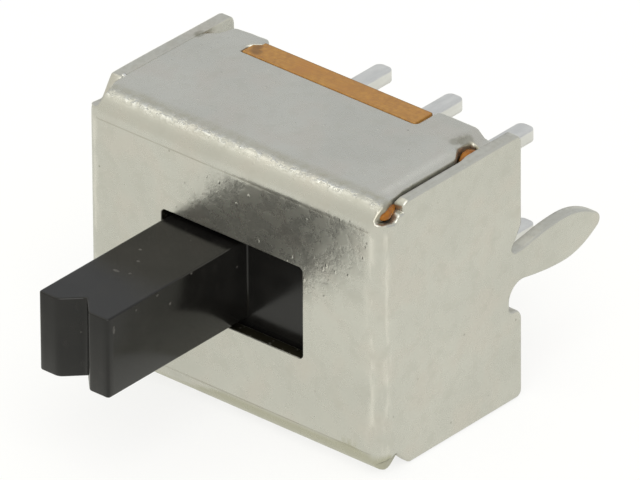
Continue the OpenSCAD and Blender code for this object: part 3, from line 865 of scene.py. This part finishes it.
def amber_grease(name):
    """Old contact grease: glossy, brown where it is thick."""
    n = material_nodes(name)
    cloud = n.noise((4, 4, 4), 2)
    color = n.mix(n.ramp(cloud, 0.35, 0.65), rgb(0.260, 0.085, 0.010), rgb(0.400, 0.150, 0.018))
    n.bumps([(cloud, 0.3, 0.02)])
    return n.finish(color, 0.25, 0.0, IOR=1.33)


def plated(name, low, high, rough, streaks=(3, 3, 3)):
    """Plated or bare strip metal with a streaky grain."""
    n = material_nodes(name)
    streak = n.noise(streaks, 3, 0.6)
    grain = n.noise((16, 16, 16), 2)
    color = n.mix(n.ramp(streak, 0.3, 0.7), low, high)
    n.bumps([(streak, 0.3, 0.01), (grain, 0.25, 0.005)])
    return n.finish(color, n.ramp(streak, 0.3, 0.7, (rough, rough + 0.1)), 1.0)


# ---------------------------------------------------------------- grease beside the upper flange

BEAD_RINGS = 28
BEAD_SIDES = 14
BEAD_FLAT = 0.75         # height of a bead as a share of its width
BEAD_BOX = 0.6           # below 1, a bead's section is squarer than an ellipse


def grease_bead(name, path):
    """A smooth bead along (x, y, z, radius) points, flattened to lie in a slot."""
    path = np.array(path)
    points = []
    for t in np.linspace(0, 1, BEAD_RINGS):
        x, y, z, r = (np.interp(t, np.linspace(0, 1, len(path)), path[:, k]) for k in range(4))
        r *= math.sqrt(max(1 - (2 * t - 1) ** 4, 0.002))
        wave = 1 + 0.08 * math.sin(17 * t)
        for k in range(BEAD_SIDES):
            a = 2 * math.pi * k / BEAD_SIDES
            high = math.copysign(abs(math.sin(a)) ** BEAD_BOX, math.sin(a))
            points.append((x + r * wave * math.cos(a), y, z + BEAD_FLAT * r * high))
    faces = []
    for base in range(0, len(points) - BEAD_SIDES, BEAD_SIDES):
        for k in range(BEAD_SIDES):
            j = (k + 1) % BEAD_SIDES
            faces.append([base + k, base + j, base + BEAD_SIDES + j, base + BEAD_SIDES + k])
    faces.append(list(range(BEAD_SIDES))[::-1])
    faces.append([len(points) - BEAD_SIDES + k for k in range(BEAD_SIDES)])
    bead = mesh_object(name, points, faces, [grease])
    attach(bead, "housing")


# ---------------------------------------------------------------- pieces from CAD nodes


def softened(node, width, material):
    """A copy of a CAD node's solid with its edges rounded, which stands for the node."""
    source = frame["nodes"][node]
    bm = bmesh.new()
    bm.from_mesh(source.data)
    bmesh.ops.remove_doubles(bm, verts=bm.verts, dist=1e-7)
    bmesh.ops.dissolve_limit(bm, angle_limit=0.02, verts=bm.verts, edges=bm.edges)
    mesh = bpy.data.meshes.new(node + "_piece")
    bm.to_mesh(mesh)
    bm.free()
    mesh.materials.clear()
    mesh.materials.append(material)
    mesh.polygons.foreach_set("material_index", [0] * len(mesh.polygons))
    mesh.polygons.foreach_set("use_smooth", [True] * len(mesh.polygons))
    obj = bpy.data.objects.new(node + "_piece", mesh)
    bpy.context.scene.collection.objects.link(obj)
    bevel = obj.modifiers.new("round", "BEVEL")
    bevel.width = width * MM
    bevel.segments = 2
    bevel.limit_method = "ANGLE"
    bevel.angle_limit = math.radians(30)
    bevel.harden_normals = True
    weigh_normals(obj)
    return obj


def weigh_normals(obj):
    """Keeps flat faces flat in shading, with only their roundings shaded round."""
    weigh = obj.modifiers.new("flat_faces", "WEIGHTED_NORMAL")
    weigh.weight = 90
    weigh.keep_sharp = True


KNOB_ROUND = 0.035       # of the knob's edges
KNOB_CORNER = 0.07       # radius of its corners at the end
GROOVE_HALF = 0.44       # half width of the V groove across its end, and the groove's depth
KNOB_REACH = 4.49        # from the knob's end to the front face of the slider's plate
PLATE_FRONT = SLIDER_LO[1] + KNOB_REACH
KNOB_FLARE = 0.045       # how much wider the knob is at its root, to the right
KNOB_ROOT = 0.3          # how far the knob's piece reaches into the plate


def knob():
    """The slider's knob: a bar with a V groove across its end, flaring where it leaves the plate."""
    middle = (SLIDER_LO[0] + SLIDER_HI[0]) / 2
    left, right = middle - KNOB_WIDTH / 2, middle + KNOB_WIDTH / 2
    end, root = SLIDER_LO[1], PLATE_FRONT
    flare = right + KNOB_FLARE
    outline = [
        (left, end, KNOB_CORNER), (middle - GROOVE_HALF, end, 0.25), (middle, end + GROOVE_HALF, 0.0),
        (middle + GROOVE_HALF, end, 0.1), (right, end, KNOB_CORNER), (right, root - 0.035, 0.05),
        (flare, root + 0.02, 0.07), (flare, root + KNOB_ROOT, 0.1), (left, root + KNOB_ROOT, 0.1),
    ]
    loop = resampled(filleted(outline), 0.12)
    grid = np.array([(x, y) for x in np.arange(left + 0.1, right, 0.3)
                     for y in np.arange(end + 0.1, root, 0.3)])
    points, faces, _ = plate([loop], grid, [KNOB_ROUND], KNOB_HEIGHT, KNOB_ROUND)
    place = np.column_stack([points[:, 0], points[:, 1], points[:, 2] + CAN_Z + WINDOW_RISE])
    obj = mesh_object("knob", place, faces, [nylon])
    weigh_normals(obj)
    return obj


def trim_knob(piece):
    """Cuts the knob off the slider's piece, as it has a piece of its own."""
    bm = bmesh.new()
    bm.from_mesh(piece.data)
    parts = bm.verts[:] + bm.edges[:] + bm.faces[:]
    made = bmesh.ops.bisect_plane(
        bm, geom=parts, plane_co=(0, PLATE_FRONT * MM, 0), plane_no=(0, -1, 0), clear_outer=True)
    bmesh.ops.edgeloop_fill(bm, edges=[e for e in made["geom_cut"] if isinstance(e, bmesh.types.BMEdge)])
    bm.to_mesh(piece.data)
    bm.free()


# ---------------------------------------------------------------- build

tin = tin_plate("tin_plate")
tin_cut = tin_plate("tin_cut_edge", cut=True)
nylon = black_plastic("black_nylon_moulding")
paper = laminate("paper_laminate")
grease = amber_grease("amber_grease")
silver = plated("silver_plate", rgb(0.76, 0.76, 0.74), rgb(0.86, 0.86, 0.84), 0.28, (4, 1.2, 4))
bronze = plated("spring_bronze", rgb(0.55, 0.34, 0.16), rgb(0.66, 0.43, 0.22), 0.25)
steel = plated("spring_wire", rgb(0.46, 0.47, 0.49), rgb(0.56, 0.57, 0.59), 0.22)

can_piece = can([tin, tin_cut])
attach(can_piece, "housing")
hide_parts("frame")

bead_x, bead_z = CAN_HALF - 0.23, CAN_TOP - 0.25
grease_bead("grease_in_relief", [
    (bead_x, -4.36, bead_z, 0.11), (bead_x + 0.01, -4.2, bead_z, 0.13),
    (bead_x - 0.03, -3.98, bead_z, 0.12), (bead_x - 0.15, -3.68, bead_z, 0.08)])
grease_bead("grease_in_nick", [
    (bead_x - 0.26, -1.4, bead_z - 0.04, 0.06), (bead_x - 0.3, -1.2, bead_z - 0.04, 0.12),
    (bead_x - 0.32, -1.0, bead_z - 0.04, 0.15), (bead_x - 0.22, -0.8, bead_z - 0.04, 0.1)])

FINISHES = {
    "base": (0.025, paper, "laminate", "housing"),
    "slider": (0.045, nylon, "black_nylon", "slider"),
    "contact_upper": (0.012, bronze, "contact_bronze", "slider"),
    "contact_lower": (0.012, bronze, "contact_bronze", "slider"),
}
for row in ("upper", "lower"):
    for column in ("left", "middle", "right"):
        FINISHES[f"terminal_{row}_{column}"] = (0.03, silver, "silvered_brass", "housing")
for node, (width, material, slot, body) in FINISHES.items():
    piece = softened(node, width, material)
    if node == "slider":
        trim_knob(piece)
    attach(piece, body)
    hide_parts(node)
knob_piece = knob()
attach(knob_piece, "slider")
for node in ("detent_spring", "detent_ball"):
    frame["nodes"][node].data.materials.clear()
    frame["nodes"][node].data.materials.append(steel)

# ---------------------------------------------------------------- stage, light and camera

FLOOR_REACH = 900        # half the floor's side
SEEN_SHARE = 0.7         # how much of the floor glows by itself where the camera sees it
MIRRORED_SHARE = 0.85    # and where the object mirrors it
WORLD_LEVEL = 0.66       # the sky's strength apart from its glows and its seam
LIGHTS = {   # direction, distance and size in metres, watts
    "key": ((-0.57, 0.12, 0.815), 0.3, 0.06, 0.006),
    "fill": ((0.45, -0.45, 0.77), 0.35, 0.3, 0.35),
}
AIM = Vector((CAN_LO[0] + 6.543, FRONT_Y, CAN_LO[2] + 5.298)) * MM   # a point on the can's front
AZIMUTH, ELEVATION, ROLL = 0.7155351, 0.5241246, -0.0074471   # in radians
DISTANCE = 375.075 * MM  # from the camera to that point
LENS = 998.0             # millimetres, for a sensor that is SENSOR wide
SENSOR = 36


def stage_material(name, color, seen, mirrored):
    """Pale paper that stays white to the camera and in reflections, yet keeps the object's shadow."""
    n = material_nodes(name)
    n.finish(color, 0.9, 0.0, Specular_IOR_Level=0.0)
    path = n.add("ShaderNodeLightPath")
    camera = path.outputs["Is Camera Ray"]
    reflected = n.math("MAXIMUM", path.outputs["Is Glossy Ray"], path.outputs["Is Transmission Ray"])
    glow = n.add("ShaderNodeEmission", {"Color": n.mix(camera, mirrored, seen)})
    share = n.math("ADD", n.times(camera, SEEN_SHARE), n.times(reflected, MIRRORED_SHARE))
    blend = n.add("ShaderNodeMixShader", {0: share})
    n.tree.links.new(n.shader.outputs[0], blend.inputs[1])
    n.tree.links.new(glow.outputs[0], blend.inputs[2])
    n.tree.links.new(blend.outputs[0], n.tree.nodes["Material Output"].inputs["Surface"])
    return n.owner


def area_light(name, direction, distance, size, watts):
    """A round lamp in that direction from the object's origin, turned towards it."""
    lamp = bpy.data.lights.new(name, "AREA")
    lamp.shape = "DISK"
    lamp.size = size
    lamp.energy = watts
    obj = bpy.data.objects.new(name, lamp)
    bpy.context.scene.collection.objects.link(obj)
    way = Vector(direction).normalized()
    obj.location = way * distance
    obj.rotation_euler = way.to_track_quat("Z", "Y").to_euler()


def sky(world):
    """Even light from behind, warmer light from the front, a glow overhead between the two."""
    n = Nodes(world, "Background", "Generated")
    way = n.add("ShaderNodeSeparateXYZ", {"Vector": n.place}).outputs
    high = n.ramp(way["Z"], 0.55, 0.75)
    front = n.ramp(way["Y"], 0.45, 0.2)
    glow = n.times(n.ramp(way["Y"], -0.75, 0.15), n.ramp(way["Y"], 0.42, 0.25))
    seam = n.times(n.ramp(way["Y"], 0.36, 0.46), n.ramp(way["Y"], 0.66, 0.56))
    n.set(n.shader.inputs["Color"], n.mix(front, rgb(0.96, 0.98, 1.0), rgb(1.0, 0.985, 0.895)))
    level = n.math("ADD", WORLD_LEVEL, n.times(front, 0.10))
    level = n.math("ADD", level, n.times(n.times(glow, high), 0.30))
    level = n.math("SUBTRACT", level, n.times(n.times(seam, high), 0.14))
    n.set(n.shader.inputs["Strength"], level)


def studio():
    """A pale floor just under the can, a soft sky and two lamps."""
    corners = [(x * FLOOR_REACH, y * FLOOR_REACH, CAN_LO[2] - 0.01)
               for x, y in ((-1, -1), (1, -1), (1, 1), (-1, 1))]
    pale = stage_material(
        "pale_floor", rgb(0.86, 0.86, 0.83), rgb(1.10, 1.10, 1.10), rgb(0.845, 0.845, 0.785))
    mesh_object("floor", corners, [(0, 1, 2, 3)], [pale])
    world = bpy.data.worlds.new("studio")
    bpy.context.scene.world = world
    sky(world)
    for name, lamp in LIGHTS.items():
        area_light(name, *lamp)


def photo_camera():
    """The camera that took the photo: far away with a long lens, and almost level."""
    level = math.cos(ELEVATION)
    back = Vector((math.sin(AZIMUTH) * level, -math.cos(AZIMUTH) * level, math.sin(ELEVATION)))
    data = bpy.data.cameras.new("camera")
    data.lens = LENS
    data.sensor_width = SENSOR
    data.clip_start, data.clip_end = 0.01, 10
    obj = bpy.data.objects.new("camera", data)
    bpy.context.scene.collection.objects.link(obj)
    turn = (-back).to_track_quat("-Z", "Y").to_matrix() @ Matrix.Rotation(ROLL, 3, "Z")
    obj.matrix_world = Matrix.Translation(AIM + back * DISTANCE) @ turn.to_4x4()
    bpy.context.scene.camera = obj


studio()
photo_camera()
bpy.context.scene.view_settings.view_transform = "Standard"
